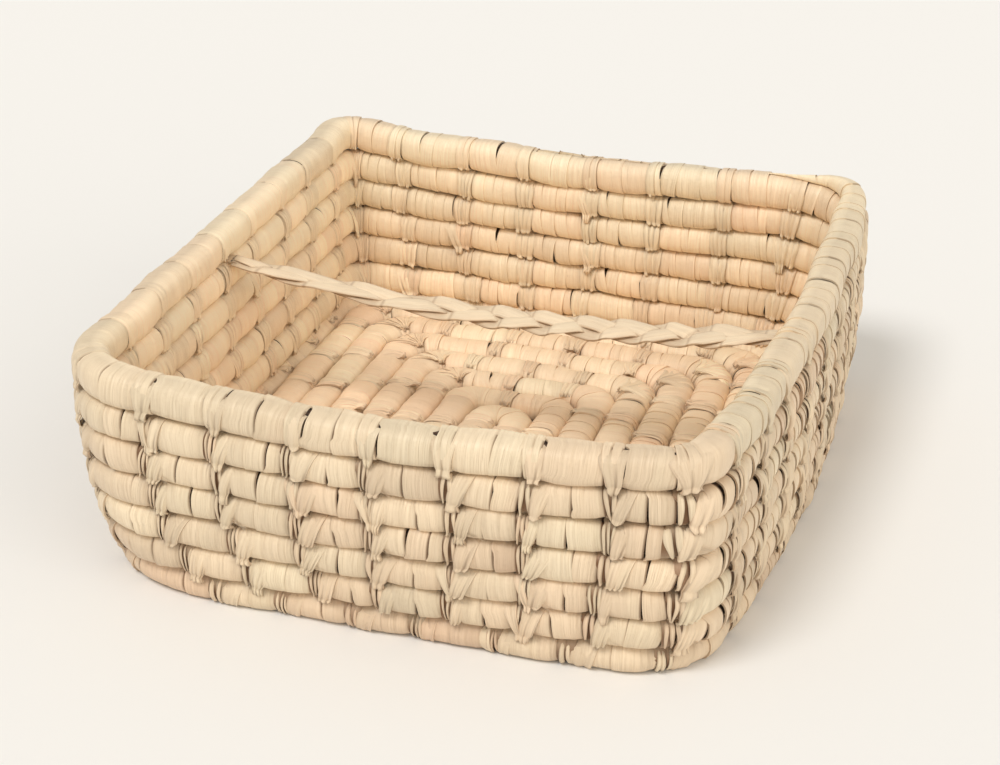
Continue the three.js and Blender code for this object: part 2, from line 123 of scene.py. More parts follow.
def row_sizes(row):
    """Half width, half depth, swell and dip of rows."""
    level = np.minimum(row, RIM_ROW)
    rise = np.clip((level - FLOOR_TURNS) / (RIM_ROW - FLOOR_TURNS), 0, 1)
    spread = np.clip(level / FLOOR_TURNS, 0, 1) ** 2
    wall = RIM_HALF_WIDTH - FOOT_INSET * (1 - rise) ** FOOT_CURVE
    half_width = np.where(level <= FLOOR_TURNS, level * FLOOR_PITCH, wall)
    swell = {s: FOOT_SWELL[s] * spread * (1 - rise) + RIM_SWELL[s] * rise for s in FOOT_SWELL}
    dip = {s: RIM_DIP[s] * rise for s in RIM_DIP}
    return half_width, half_width + DEPTH_OVER_WIDTH, swell, dip


def corner_radii(row):
    level = min(row, RIM_ROW)
    if level <= FLOOR_TURNS:
        share = min(max((level - 1) / (FLOOR_TURNS - 1), 0), 1)
        return INNER_RADIUS + (FOOT_RADII - INNER_RADIUS) * share
    rise = (level - FLOOR_TURNS) / (RIM_ROW - FLOOR_TURNS)
    return RIM_RADII + (FOOT_RADII - RIM_RADII) * (1 - rise) ** FOOT_CURVE


def row_height(level):
    on_wall = np.clip(level - FLOOR_TURNS, 0, WALL_TURNS)
    on_rim = np.clip(level - FLOOR_TURNS - WALL_TURNS, 0, 1)
    return SEAT_HEIGHT + on_wall * WALL_STEP + on_rim * RIM_STEP


def leg_length(row, leg):
    return plan_leg(row, leg, np.zeros(1))[2]


def plan_leg(row, leg, t):
    """Points of one leg in plan, and its length."""
    half_width, half_depth, _, _ = row_sizes(row)
    width_before = row_sizes(row - 1)[0]
    depth_after = row_sizes(row + 1)[1]
    back_left, front_left, front_right, climb = corner_radii(row)
    climb_in = (corner_radii(row - 1)[3] + climb) / 2
    climb_out = (climb + corner_radii(row + 1)[3]) / 2
    if leg % 2 == 0:
        start_of_run = (FLOOR_PITCH + ROW_GAP) / 2 - depth_after
        x0, y0, x1, y1 = {
            0: (width_before - climb_in, half_depth, back_left - half_width, half_depth),
            2: (-half_width, half_depth - back_left, -half_width, front_left - half_depth),
            4: (front_left - half_width, -half_depth, half_width - front_right, -half_depth),
            6: (half_width, start_of_run if row == 0 else front_right - half_depth,
                half_width, depth_after - climb_out),
        }[leg]
        length = math.hypot(x1 - x0, y1 - y0)
        return x0 + (x1 - x0) * t, y0 + (y1 - y0) * t, length
    middle_x, middle_y, bend = {
        1: (back_left - half_width, half_depth - back_left, back_left),
        3: (front_left - half_width, front_left - half_depth, front_left),
        5: (half_width - front_right, front_right - half_depth, front_right),
        7: (half_width - climb_out, depth_after - climb_out, climb_out),
    }[leg]
    angle = ((leg + 1) / 2 + t) * math.pi / 2
    return middle_x + bend * np.cos(angle), middle_y + bend * np.sin(angle), bend * math.pi / 2


def climb_share(row, leg, t):
    """How far a row has climbed to the next one, at places round the climbing corner."""
    corner_row = row - 1 if leg == 0 else row
    corner = leg_length(corner_row, CLIMB_CORNER)
    stretch_length = min(CLIMB_LENGTH, max(float(row_sizes(corner_row)[0]), INNER_RADIUS))
    past = (t - 0.5) * corner
    if leg == 0:
        past = corner / 2 + t * leg_length(row, 0)
    if leg == RIGHT_SIDE:
        past = -corner / 2 - (1 - t) * leg_length(row, RIGHT_SIDE)
    return smooth(past / stretch_length + 0.5)


def crossing(key, t):
    """Centre of the coil and half its height at a place of the spiral."""
    row, leg = divmod(key, LEGS)
    ending = key >= RIM_KEY + RIGHT_SIDE
    level = np.full(t.shape, float(row))
    if leg == 0:
        level = row - 1 + climb_share(row, leg, t)
    elif leg >= RIGHT_SIDE:
        level = row + climb_share(row, leg, t)
    if ending:
        level = np.full(t.shape, float(RIM_ROW))
    x, y, _ = plan_leg(row, leg, t)
    half_width, half_depth, swell, dip = row_sizes(level)
    across = np.clip(x / np.maximum(half_width, 1e-9), -1, 1)
    along = np.clip(y / half_depth, -1, 1)
    side_share = (1 - along ** 2) * np.abs(across) ** SIDE_FOCUS
    end_share = (1 - across ** 2) * np.abs(along) ** SIDE_FOCUS
    (out_x, out_y), (down_x, down_y) = (
        (np.where(across > 0, sizes["right"], sizes["left"]),
         np.where(along > 0, sizes["back"], sizes["front"])) for sizes in (swell, dip))
    real = half_width > 0
    x = x + np.where(real, np.sign(x) * side_share * out_x, 0)
    y = y + np.where(real, np.sign(y) * end_share * out_y, 0)
    z = -np.where(real, side_share * down_x + end_share * down_y, 0)
    if not ending:
        return np.stack([x, y, z + row_height(level)], -1), np.full(t.shape, HALF)
    climb = climb_share(RIM_ROW, 0, t) if leg == 0 else climb_share(RIM_ROW - 1, leg, t)
    room = HEIGHT - row_height(RIM_ROW - 1 + climb) - HALF - ROW_GAP
    return np.stack([x, y, z + HEIGHT - room / 2], -1), room / 2


# Frames along the whole spiral
STATION = 1.0  # between two frames
NEARBY = 0.005  # share of a leg to either side, which gives the coil's direction
TAPER_SHARE = 0.62  # of the back side, over which the rim's tapered end lies


def frames_along():
    """Frames (place, centre, axes, groove angles, reaches, half height) and each leg's start."""
    spiral = []
    travelled = 0.0
    starts = {}
    for key in range(FIRST_KEY, RIM_KEY + LEGS + 1):
        row, leg = divmod(key, LEGS)
        starts[key] = travelled
        length = leg_length(row, leg)
        if length < ROW_GAP:
            continue
        steps = max(3, math.ceil(length / STATION))
        t = np.arange(steps) / steps
        if key == RIM_KEY + LEGS:
            t = t[t < TAPER_SHARE]
        here, half = crossing(key, t)
        ahead, _ = crossing(key, np.minimum(t + NEARBY, 1))
        behind, _ = crossing(key, np.maximum(t - NEARBY, 0))
        tangent = ahead - behind
        tangent /= np.linalg.norm(tangent, axis=1)[:, None]
        out = np.cross(tangent, [0, 0, 1.0])
        out /= np.linalg.norm(out, axis=1)[:, None]
        upward = np.cross(out, tangent)

        def reach_to(other_key):
            other, other_half = crossing(other_key, t)
            offset = other - here
            offset -= (offset * tangent).sum(1)[:, None] * tangent
            distance = np.linalg.norm(offset, axis=1)
            reach = (distance - ROW_GAP) * half / (half + other_half)
            return offset / distance[:, None], reach

        def angle_of(way):
            return np.arctan2((way * upward).sum(1), (way * out).sum(1)) % TURN

        down, down_reach = reach_to(key - LEGS)
        bend = math.inf if leg % 2 == 0 else length / (math.pi / 2)
        down_reach = np.minimum(down_reach, INSIDE_SHARE * bend)
        above, up_reach = -down, half
        if key + LEGS <= RIM_KEY + LEGS:
            above, up_reach = reach_to(key + LEGS)
            if key + LEGS >= RIM_KEY + RIGHT_SIDE:
                gone = crossing(key + LEGS, t)[1] < END_THICKNESS / 2
                above = np.where(gone[:, None], -down, above)
                up_reach = np.where(gone, half, up_reach)
        down_angle, up_angle = angle_of(down), angle_of(above)
        up_angle = np.where(up_angle <= down_angle, up_angle + TURN, up_angle)
        place = travelled + t * length
        spiral.append(np.column_stack([
            place, here, out, upward, down_angle, up_angle, down_reach, up_reach, half,
        ]))
        travelled += length
    return np.concatenate(spiral), starts


def wave(values, count, longest, shortest):
    """A smooth random curve, the same each run: a few cosines with random phases."""
    total = np.zeros_like(values)
    for _ in range(count):
        length = uniform(shortest, longest)
        total += np.cos(TURN * (values / length + RANDOM.random()))
    return total / count


TABLE, STARTS = frames_along()
PLACES = TABLE[:, 0]
LAST_PLACE = PLACES[-1]
GROOVES = [10, 11]  # columns of the angles of the lower and the upper groove
UNEVEN, UNEVEN_WAVES = 1.1, (9, 80, 22)  # height and waves of the coil's uneven course
TABLE[:, 1:4] += TABLE[:, 4:7] * (UNEVEN * wave(PLACES, *UNEVEN_WAVES))[:, None]
TABLE[:, 1:4] += TABLE[:, 7:10] * (UNEVEN * wave(PLACES, *UNEVEN_WAVES))[:, None]


def at(s, columns):
    """Columns of the table of frames, at places along the spiral."""
    s = np.clip(s, PLACES[0], LAST_PLACE)
    return [np.interp(s, PLACES, TABLE[:, column]) for column in columns]


FULLNESS = 2.7  # power of the section's outline, over 2 for a fuller one than a circle
GROUND = 0.05  # least height of a leaf over the table
LAYER, LAYERED_LIFT, LAYERS = 0.3, 1.4, 3  # keep leaves flattened by the table apart


def section_reach(share, start, end, half):
    """Reach of the section's outline, flatter on its faces and fuller at its corners."""
    bulge = np.sin(share * math.pi) ** 2
    round_reach = (start + (end - start) * share) * (1 - bulge) + half * bulge
    turn = share * math.pi
    squared = np.abs(np.cos(turn)) ** FULLNESS + np.abs(np.sin(turn)) ** FULLNESS
    return round_reach * squared ** (-1 / FULLNESS)


def in_section(axes, across, along):
    """Points at distances along the outward and upward axes from the coil's centre."""
    return np.stack([axes[i] + axes[i + 3] * across + axes[i + 6] * along for i in range(3)], -1)


def lay(s, angle, lift):
    """Points on the coil: place along the spiral, angle round its section, and height over it."""
    *axes, down, up, down_reach, up_reach, half = at(s, range(1, 15))
    past_down = (angle - down) % TURN
    span = up - down
    outside = past_down < span
    share = np.where(outside, past_down / span, (past_down - span) / (TURN - span))
    start = np.where(outside, down_reach, up_reach)
    end = np.where(outside, up_reach, down_reach)
    reach = section_reach(share, start, end, half) + lift
    points = in_section(axes, reach * np.cos(angle), reach * np.sin(angle))
    lowest = GROUND + LAYER * np.clip(LAYERED_LIFT - lift, 0, LAYERS)
    points[..., 2] = np.maximum(points[..., 2], lowest)
    return points


# Meshes are gathered for each piece and made at the end
class Piece:
    def __init__(self, name, node, material):
        self.name, self.node, self.material = name, node, material
        self.points, self.faces, self.tone, self.grain = [], [], [], []
        self.count = 0

    def add(self, grid, tone, grain, flip=False, closed=False):
        """A grid of points, its colour values, and its coordinates along and across the leaf."""
        rows, columns = grid.shape[:2]
        index = np.arange(rows * columns).reshape(rows, columns) + self.count
        if closed:
            index = np.concatenate([index, index[:, :1]], 1)
        quads = np.stack([index[:-1, :-1], index[1:, :-1], index[1:, 1:], index[:-1, 1:]], -1)
        quads = quads.reshape(-1, 4)
        if flip:
            quads = quads[:, ::-1]
        self.points.append(grid.reshape(-1, 3))
        self.faces.append(quads)
        self.tone.append(np.broadcast_to(tone, grid.shape).reshape(-1, 3))
        self.grain.append(np.broadcast_to(grain, grid.shape).reshape(-1, 3))
        self.count += rows * columns

    def make(self):
        points = np.concatenate(self.points) * MM
        faces = np.concatenate(self.faces)
        mesh = bpy.data.meshes.new(self.name)
        mesh.vertices.add(len(points))
        mesh.vertices.foreach_set("co", points.astype(np.float32).ravel())
        mesh.loops.add(faces.size)
        mesh.loops.foreach_set("vertex_index", faces.astype(np.int32).ravel())
        mesh.polygons.add(len(faces))
        mesh.polygons.foreach_set("loop_start", np.arange(0, faces.size, 4, dtype=np.int32))
        mesh.polygons.foreach_set("use_smooth", np.ones(len(faces), dtype=bool))
        mesh.update(calc_edges=True)
        mesh.validate()
        for name, values in (("tone", self.tone), ("grain", self.grain)):
            layer = mesh.attributes.new(name, "FLOAT_VECTOR", "POINT")
            layer.data.foreach_set("vector", np.concatenate(values).astype(np.float32).ravel())
        mesh.materials.append(self.material)
        return add_object(self.name, mesh)


# Materials
VEIN_HALF = 0.06  # of the noise to either side of a vein
ROUGHNESS_SPREAD, VEIN_DEPTH, PLEAT_HEIGHT = 0.22, -0.35, 0.6
BUMP_METRES = 0.00035
SPECULAR, SHEEN = 0.45, 0.06


def node(tree, kind, values, **settings):
    """Outputs of a new node, whose sockets are linked or set."""
    made = tree.nodes.new(f"ShaderNode{kind}")
    for name, value in settings.items():
        setattr(made, name, value)
    for socket, value in values.items():
        if hasattr(value, "is_linked"):
            tree.links.new(value, made.inputs[socket])
        else:
            made.inputs[socket].default_value = value
    return made.outputs


def maths(tree, operation, *values):
    return node(tree, "Math", dict(enumerate(values)), operation=operation)[0]


def mix(tree, share, one, other, blend="MIX"):
    values = {0: share, 6: one, 7: other}
    return node(tree, "Mix", values, data_type="RGBA", blend_type=blend)[2]


def smooth_step(tree, value, low, high):
    values = {"Value": value, "From Min": low, "From Max": high}
    return node(tree, "MapRange", values, interpolation_type="SMOOTHSTEP")[0]


def srgb(red, green, blue):
    def linear(value):
        value /= 255
        return value / 12.92 if value <= 0.04045 else ((value + 0.055) / 1.055) ** 2.4
    return (linear(red), linear(green), linear(blue), 1)


def leaf_material(name, pale, warm, green, line, dark, roughness, bump):
    """Dry leaf: its colour follows each strip's own tone and the painted shade given with it, with
    fine veins along the strip.
    """
    material = bpy.data.materials.new(name)
    material.use_nodes = True
    tree = material.node_tree
    tree.nodes.clear()
    tone, grain = (node(tree, "Attribute", {}, attribute_name=attribute)["Vector"]
                   for attribute in ("tone", "grain"))
    brightness, warmth, painted_shade = node(tree, "SeparateXYZ", {0: tone})

    def noise(scale, detail, rough=0.5):
        """The scale is per millimetre across the leaf and along it, and per leaf."""
        scaled = node(tree, "VectorMath", {0: grain, 1: scale}, operation="MULTIPLY")[0]
        values = {"Vector": scaled, "Scale": 1.0, "Detail": detail, "Roughness": rough}
        return node(tree, "TexNoise", values)["Fac"]

    veins = noise((6.8, 0.05, 1.0), 1.0)
    pleats = noise((1.1, 0.03, 1.0), 2.0)
    cloud = noise((0.10, 0.05, 1.0), 2.0)
    specks = noise((1.6, 0.5, 1.0), 3.0, 0.7)
    off_line = maths(tree, "ABSOLUTE", maths(tree, "SUBTRACT", veins, 0.5))
    lines = maths(tree, "SUBTRACT", 1.0, smooth_step(tree, off_line, 0.0, VEIN_HALF))
    colour = mix(tree, warmth, pale, warm)
    for amount, most, other, blend in (
        (smooth_step(tree, cloud, 0.5, 0.75), 0.25, green, "MIX"),
        (lines, 0.36, line, "MIX"),
        (smooth_step(tree, pleats, 0.5, 0.78), 0.07, line, "MIX"),
        (smooth_step(tree, specks, 0.70, 0.80), 0.35, dark, "MULTIPLY"),
    ):
        colour = mix(tree, maths(tree, "MULTIPLY", amount, most), colour, other, blend)
    # Painted shade: the tone's third value darkens the colour toward the dark colour
    colour = mix(tree, painted_shade, colour, dark, "MULTIPLY")
    bright = node(tree, "VectorMath", {0: colour, "Scale": brightness}, operation="SCALE")[0]
    lowest = roughness - ROUGHNESS_SPREAD / 2
    rough = maths(tree, "MULTIPLY_ADD", pleats, ROUGHNESS_SPREAD, lowest)
    height = maths(tree, "MULTIPLY_ADD", lines, VEIN_DEPTH,
                   maths(tree, "MULTIPLY", pleats, PLEAT_HEIGHT))
    bumps = node(tree, "Bump", {"Strength": bump, "Distance": BUMP_METRES, "Height": height})[0]
    shader = node(tree, "BsdfPrincipled", {
        "Base Color": bright, "Roughness": rough, "Normal": bumps,
        "Specular IOR Level": SPECULAR, "Sheen Weight": SHEEN})[0]
    node(tree, "OutputMaterial", {0: shader})
    return material


# The last colour of each material darkens its specks and gives the painted shade
LEAF = leaf_material(
    "dry_palm_leaf", srgb(241, 224, 193), srgb(235, 204, 173), srgb(233, 217, 184),
    srgb(209, 176, 134), (0.21, 0.115, 0.055, 1), 0.48, 0.6)
STRAP_LEAF = leaf_material(
    "pale_strap_leaf", srgb(248, 230, 200), srgb(243, 217, 184), srgb(240, 223, 190),
    srgb(212, 178, 140), (0.34, 0.20, 0.10, 1), 0.45, 0.5)
# Dark brown stalks: their colour is painted shade for the slits they show through
STALKS = leaf_material(
    "leaf_stalks", srgb(78, 52, 32), srgb(66, 42, 25), srgb(74, 56, 32),
    srgb(44, 28, 16), (0.3, 0.2, 0.12, 1), 0.85, 1.0)


# Leaf strips
# Inside the basket the leaf's brightness is raised as painted light, for the less light that
# reaches in
INSIDE_PAINTED_LIGHT, INSIDE_WARMER = 0.22, -0.12
WARMTH_SPREAD, BRIGHTNESS_SPREAD, STRIP_SPREAD = 0.16, 0.045, 0.015


class Leaf:
    """Colour and grain of one leaf, which may show as several strips."""

    def __init__(self, warmth, brightness=1.0):
        self.warmth = float(np.clip(normal(warmth, WARMTH_SPREAD), 0, 1))
        self.brightness = float(np.clip(normal(brightness, BRIGHTNESS_SPREAD), 0.8, 1.1))
        self.number = uniform(0, 900)

    def tone(self, grid, painted_shade=0.0, inside=0.0):
        """Inside the basket the leaf is painted paler, as painted light for the dimmer inside, and
        is less warm in colour.
        """
        tone = np.empty(grid.shape)
        paler = np.clip(np.asarray(inside) * 2, 0, 1)
        of_strip = normal(1, STRIP_SPREAD)
        # Painted light: brighter on the inside faces
        tone[..., 0] = self.brightness * of_strip * (1 + INSIDE_PAINTED_LIGHT * paler)
        tone[..., 1] = np.clip(self.warmth + INSIDE_WARMER * paler, 0, 1)
        tone[..., 2] = painted_shade
        return tone

    def again(self):
        """Another strip cut from the same leaf."""
        other = Leaf(self.warmth)
        other.warmth, other.brightness = self.warmth, self.brightness
        return other

    def grain(self, across, along):
        across, along = np.broadcast_arrays(across, along)
        number = np.full(across.shape, self.number + uniform(0, 30))
        return np.stack([across, along, number], -1)


def face_weights(s, angle):
    """How near an angle is to the middle of the outer face, and to the middle of the inner face."""
    down, up = at(s, GROOVES)
    span = up - down
    past = (angle - down) % TURN
    outer = np.sin(np.clip(past / span, 0, 1) * math.pi)
    inner = np.sin(np.clip((past - span) / (TURN - span), 0, 1) * math.pi)
    return np.where(past < span, outer, 0.0), np.where(past < span, 0.0, inner)


def round_section(s, count):
    """Angles round the section, closer together at the two grooves."""
    down, up = (column[0] for column in at(np.array([s]), GROOVES))
    half = np.linspace(0, 1, count // 2 + 1)[:-1]
    half = half - 0.06 * np.sin(TURN * half)
    outer = down + (up - down) * half
    inner = up + (down + TURN - up) * half
    return np.concatenate([outer, inner])[None, :]


def droop(s, angle):
    """The rows of the wall hang fuller over their lower edge on the outside."""
    down, up = at(s, GROOVES)
    share = ((angle - down) % TURN) / (up - down)
    fuller_low = 0.34 * np.exp(-((share - 0.2) / 0.12) ** 2)
    thinner_high = 0.2 * np.exp(-((share - 0.88) / 0.1) ** 2)
    foot, blend = STARTS[FLOOR_TURNS * LEGS], 10
    on_wall = smooth(s, foot - blend, foot + blend)
    return np.where(share < 1, fuller_low - thinner_high, 0) * on_wall


# Broad wraps
WRAP_ROUND = 40  # points round the coil
ROUND_LENGTH = 34  # of the leaf round the coil, for its grain
OVERLAP = 0.6  # of a wrap over the one before
SLIT_ENDS = (0.4, 0.7)  # cosines of the angles from a slit's middle where it closes
BULGE, INNER_BULGE, BULGE_POWER = 0.4, 0.2, 0.6  # between two stitches
PINCH, OUTER_PINCH, INNER_PINCH = 0.1, 0.35, 0.2  # at a stitch
INNER_SINK, SINK_POWER = 0.45, 0.7
UNDER_DROP = 0.3  # of a wrap's end, under the next one
FULL_LIP = 0.35  # lip at which the painted shade along a wrap's lapped edge is darkest
EDGE_HEIGHT = 0.6  # of the cut edge of a leaf, down to what it lies on
SPOT_DEPTH, GROOVE_DEPTH = 0.5, 0.2  # of the painted shade at a stitch and in a groove
SHADE_FREE_SINK = 0.3  # from which a wrap gets painted shade
RIM_BLEND = 4  # along the coil, from which the upper groove is the open top of the rim


def wrap(piece, leaf, start, end, cell, lean, lip, sink=0.0, slit=0.0, slit_side=0.0):
    """A broad strip once round the coil between two places, its start lying over the one before.

    A slit opens between it and the one before over a part of the way round, at the angle slit_side
    from the lower groove. Wraps with a sink lie deeper and get painted shade, for the shade under
    the stitches that cover them.
    """
    width = end - start + OVERLAP
    lines = np.linspace(0.5, width - OVERLAP - 0.35, 5)
    u = np.r_[0, 0.15, lines, width - OVERLAP, width - OVERLAP / 2, width][:, None] / width
    v = np.linspace(0, 1, WRAP_ROUND + 1)[None, :-1]
    angle = round_section((start + end) / 2, WRAP_ROUND) + 0 * u
    down = angle[0, 0]
    wander = 0.2 * wave(v * 30, 3, 30, 7.5)
    slope = lean * np.sin(angle - down - math.pi / 2) * HALF
    closes = np.sin(v * math.pi) ** 0.5
    opening = slit * smooth(np.cos(angle - down - slit_side), *SLIT_ENDS)
    s = start + u * width + slope + (wander * closes + opening) * (1 - u)
    first, last = cell
    share = np.clip((s - first) / max(last - first, 1), 0, 1)
    outer, inner = face_weights(s, angle)
    within = inner > 0
    bulge = (BULGE + INNER_BULGE * inner) * np.sin(share * math.pi) ** BULGE_POWER
    near_end = np.clip(np.minimum(s - first, last - s), 0, 9)
    pinch = -(PINCH + OUTER_PINCH * outer + INNER_PINCH * inner) * np.exp(-near_end)
    pleat = 0.06 * wave(u * width + 0 * v, 3, 5.5, 2.2)
    deep = sink * outer ** SINK_POWER + INNER_SINK * sink * inner ** SINK_POWER
    lapped = lip * (1 - u) ** 1.3 - 0.12 * u
    lift = lapped + bulge + pinch + pleat - deep + normal(0, 0.07)
    under_next = smooth(u * width, width - OVERLAP - 0.1, width - OVERLAP / 2)
    points = lay(s, angle, lift - UNDER_DROP * under_next + droop(s, angle))

    def by_face(on_outer, on_inner):
        return np.where(within, on_inner, on_outer)

    lip_share = min(1.0, lip / FULL_LIP)
    on_rim = smooth(s, STARTS[RIM_KEY] - RIM_BLEND, STARTS[RIM_KEY] + RIM_BLEND)
    not_top = 1 - on_rim * (np.abs(angle - down) > 1)
    groove = np.exp(-(outer + inner) / GROOVE_DEPTH) * not_top
    spot = np.exp(-near_end / by_face(1.7, 0.9) - (outer + inner) / SPOT_DEPTH) * not_top
    # Painted shade: along a raised lip's edge, under the next wrap, in the grooves, beside the
    # stitches, and on wraps sunk under the stitches
    painted_shade = (
        0.2 * lip_share ** 2 * np.exp(-u * width / 0.25) * (inner == 0)
        + by_face(0.7, 0.15) * under_next + by_face(0.5, 0.2) * groove
        + by_face(0.95, 0.65) * spot * (sink == 0)
        + max(sink - SHADE_FREE_SINK, 0) * (2.0 * outer + 0.3 * inner)
    )
    grain = leaf.grain(u * width, v * ROUND_LENGTH)
    piece.add(points, leaf.tone(points, np.clip(painted_shade, 0, 0.97), inner), grain, closed=True)
    edge_s = s[:1] + np.array([[0.0], [0.03]])
    edge_lift = lift[:1] - np.array([[EDGE_HEIGHT], [0.0]])
    edge = lay(edge_s, angle[:2], edge_lift + droop(edge_s, angle[:2]))
    # Painted shade on the cut edge of the wrap's start
    tone = leaf.tone(edge, (0.25 + 0.5 * lip_share) * (1 - 0.8 * within[:1]))
    piece.add(edge, tone, leaf.grain(0, v * ROUND_LENGTH), closed=True)


# Where a strip crosses to the row below: its course over four steps, as shares of the row's reach
# toward that row and out of the face
LEAVE = 0.94  # angle from the lower groove at which a strip leaves its row
TOP_INSET = 0.07  # of a face, from the upper groove to the strips' upper ends
STEPS, DOWNWARD, OUTWARD = (0, 0.35, 0.72, 1), (0.59, 0.93, 1.28, 1.5), (0.81, 0.88, 0.90, 0.5)
LIFT_STEPS, LIFT_OUTWARD = (0, 0.35, 1), (0.81, 1, 0.3)


def stitch_path(s, q, lift, outside):
    """Points of a strip that runs down a row's face and on over the groove to the row below.

    q is 0 at the top of the row and 1 where the strip leaves it. From there to 2 it crosses the
    groove and ends in the row below. On the floor's rows the outside is the underside.
    """
    *axes, down, up, down_reach, _, half = at(s, range(1, 15))
    face, side = (up - down, 1.0) if outside else (TURN - (up - down), -1.0)
    begin = up - side * TOP_INSET * face
    last = down + LEAVE if outside else down + TURN - LEAVE
    angle = begin + (last - begin) * np.minimum(q, 1)
    points = lay(s, angle, lift + droop(s, angle))
    beyond = np.clip(q - 1, 0, 1)
    reach = section_reach(np.clip(LEAVE / face, 0, 1), down_reach, half, half)
    a = np.interp(beyond, STEPS, DOWNWARD) * reach + lift * DOWNWARD[0] * (1 - beyond)
    b = np.interp(beyond, STEPS, OUTWARD) * reach + lift * np.interp(
        beyond, LIFT_STEPS, LIFT_OUTWARD)
    across = a * np.cos(down) - b * np.sin(down) * side
    along = a * np.sin(down) + b * np.cos(down) * side
    over_groove = in_section(axes, across, along)
    over_groove[..., 2] = np.maximum(over_groove[..., 2], GROUND)
    return np.where((q > 1)[..., None], over_groove, points)


def narrow_strip(piece, leaf, place, width, outside, top_lean, deep, top, reach, waist):
    """A folded strip that lies at a stitch and is drawn in at both grooves."""
    across, down = 7, 17
    u = np.linspace(0, 1, across)[:, None]
    q = np.linspace(top, reach, down)[None, :] + 0 * u
    upper = smooth(q, top, top + 0.35)
    narrow = 1 - waist * smooth(q, 0.45, 1.15) - 0.3 * (1 - upper)
    narrow = narrow * (1 - 0.5 * smooth(q, reach - 0.25, reach) ** 2)
    middle = place + top_lean * (0.6 - q) + 0.15 * wave(q * 10, 2, 14, 6)
    s = middle + (u - 0.5) * width * narrow
    fold = uniform(0.3, 0.7)
    ridge = 0.5 * (1 - (np.abs(u - fold) / max(fold, 1 - fold)) ** 1.6) - 0.1
    crease = 0.1 * wave(u * 6 + 0 * q, 2, 3.2, 1.6)
    ends = -1.5 * smooth(q, reach - 0.33, reach) - 0.75 * (1 - smooth(q, top, top + 0.2))
    points = stitch_path(s, q, deep + ridge + crease + ends, outside)
    # Painted shade along the strip's edges and where it goes down into the groove
    edges = (np.abs(u - 0.5) * 2) ** 4
    painted_shade = 0.04 + (0.4 if outside else 0.2) * edges + 0.45 * smooth(q, reach - 0.3, reach)
    grain = leaf.grain((u - 0.5) * width * 1.6, q * 13)
    tone = leaf.tone(points, np.clip(painted_shade, 0, 0.85), 0.0 if outside else 1.0)
    piece.add(points, tone, grain, flip=outside)


FAN_ACROSS, FAN_DOWN = 15, 28  # points
FAN_LENGTH = 11  # of the leaf from the top of its row to where it leaves it, for its grain
GATHERED = 1.18  # place on its way where a fan has folded together
FLARES = (-0.45, 0.0, 0.3)  # of the tips, which narrow, keep their width or spread
HOOKED = 1.5  # reach from which a tip shows on the row below


def fan_leaf(piece, leaf, tip, left, right, outside, high, start, reach, loose, tip_width, folds,
             shade=0.28):
    """A leaf that is broad at the top of its row and folds together to a tip over the row below."""
    u = np.linspace(0, 1, FAN_ACROSS)[:, None]
    q = np.linspace(start, reach, FAN_DOWN)[None, :] + 0 * u
    gather = np.clip((q - start) / (GATHERED - start), 0, 1)
    flare = RANDOM.choice(FLARES)
    tip_half = tip_width / 2 * (1 + flare * smooth(q, 1.15, reach))
    left_edge = left + (tip - tip_half - left) * smooth(gather) ** uniform(0.8, 1.2)
    right_edge = right + (tip + tip_half - right) * gather ** uniform(0.75, 1.15)
    s = left_edge + (right_edge - left_edge) * u
    s = s + 0.12 * wave(q * 10 + 0 * u, 2, 16, 8)
    turn = np.cos(TURN * (u * folds + RANDOM.random() + 0.12 * q))
    fold = np.arcsin(0.92 * turn) / 1.17 * (0.03 + 0.3 * gather ** 1.6)
    crown = 0.38 * np.sin(u * math.pi) ** 0.8 * smooth(q, 0.3, 1.0)
    merged = smooth(-u, -0.3, 0) * (1 - smooth(q, 0.5, 0.95)) * -0.35
    curl = loose * smooth(u, 0.6, 1) * (1 - smooth(q, 1.0, 1.35)) + merged
    thin = high * smooth(q, start + 0.1, 1.1) + 0.12
    rise = thin * smooth(q, start, start + 0.35) - 0.2 * (1 - smooth(q, start, start + 0.25))
    sink = (-1.1 if reach < HOOKED else -0.45) * smooth(q, reach - 0.22, reach)
    lift = rise + fold + crown + curl + sink
    points = stitch_path(s, q, lift, outside)
    # Painted shade along the left edge, at the tip's end and in the fold creases
    painted_shade = 0.03 + shade * smooth(-u, -0.1, 0) + 0.25 * smooth(q, reach - 0.25, reach)
    crease = smooth(-turn, 0.75, 1.0) * smooth(gather, 0.25, 0.9)
    grain = leaf.grain(u * (right - left), q * FAN_LENGTH)
    tone = leaf.tone(points, np.clip(painted_shade + 0.5 * crease, 0, 0.8), 0.0 if outside else 1.0)
    piece.add(points, tone, grain, flip=outside)
    # The cut edges and the end get painted shade too
    drop = np.array([0, EDGE_HEIGHT])
    for line, sign in ((-1, 1), (0, -1)):
        side_s = s[line] + np.array([[0], [0.08 * sign]])
        side_q = np.repeat(q[-1:], 2, 0)
        edge = stitch_path(side_s, side_q, lift[line] - drop[:, None], outside)
        piece.add(edge, leaf.tone(edge, 0.45), leaf.grain(0, side_q * FAN_LENGTH),
                  flip=outside if sign > 0 else not outside)
    end_q = q[:, -1:] + np.array([0, 0.004])
    end = stitch_path(np.repeat(s[:, -1:], 2, 1), end_q, lift[:, -1:] - drop, outside)
    piece.add(end, leaf.tone(end, 0.5), leaf.grain(u * 3, end_q), flip=outside)


# Where the stitches are
SHIFT = 0.22  # of a floor row's stitches against the rows beside it, as a share of their pitch
STITCH_SPREAD = 0.9
SHORTEST_LEG = 6  # with a stitch


def turn_name(row):
    if row == 0:
        return "wrap_floor_centre"
    if row <= FLOOR_TURNS:
        return f"wrap_floor_{row}"
    return "wrap_rim" if row == RIM_ROW else f"wrap_wall_{row - FLOOR_TURNS}"


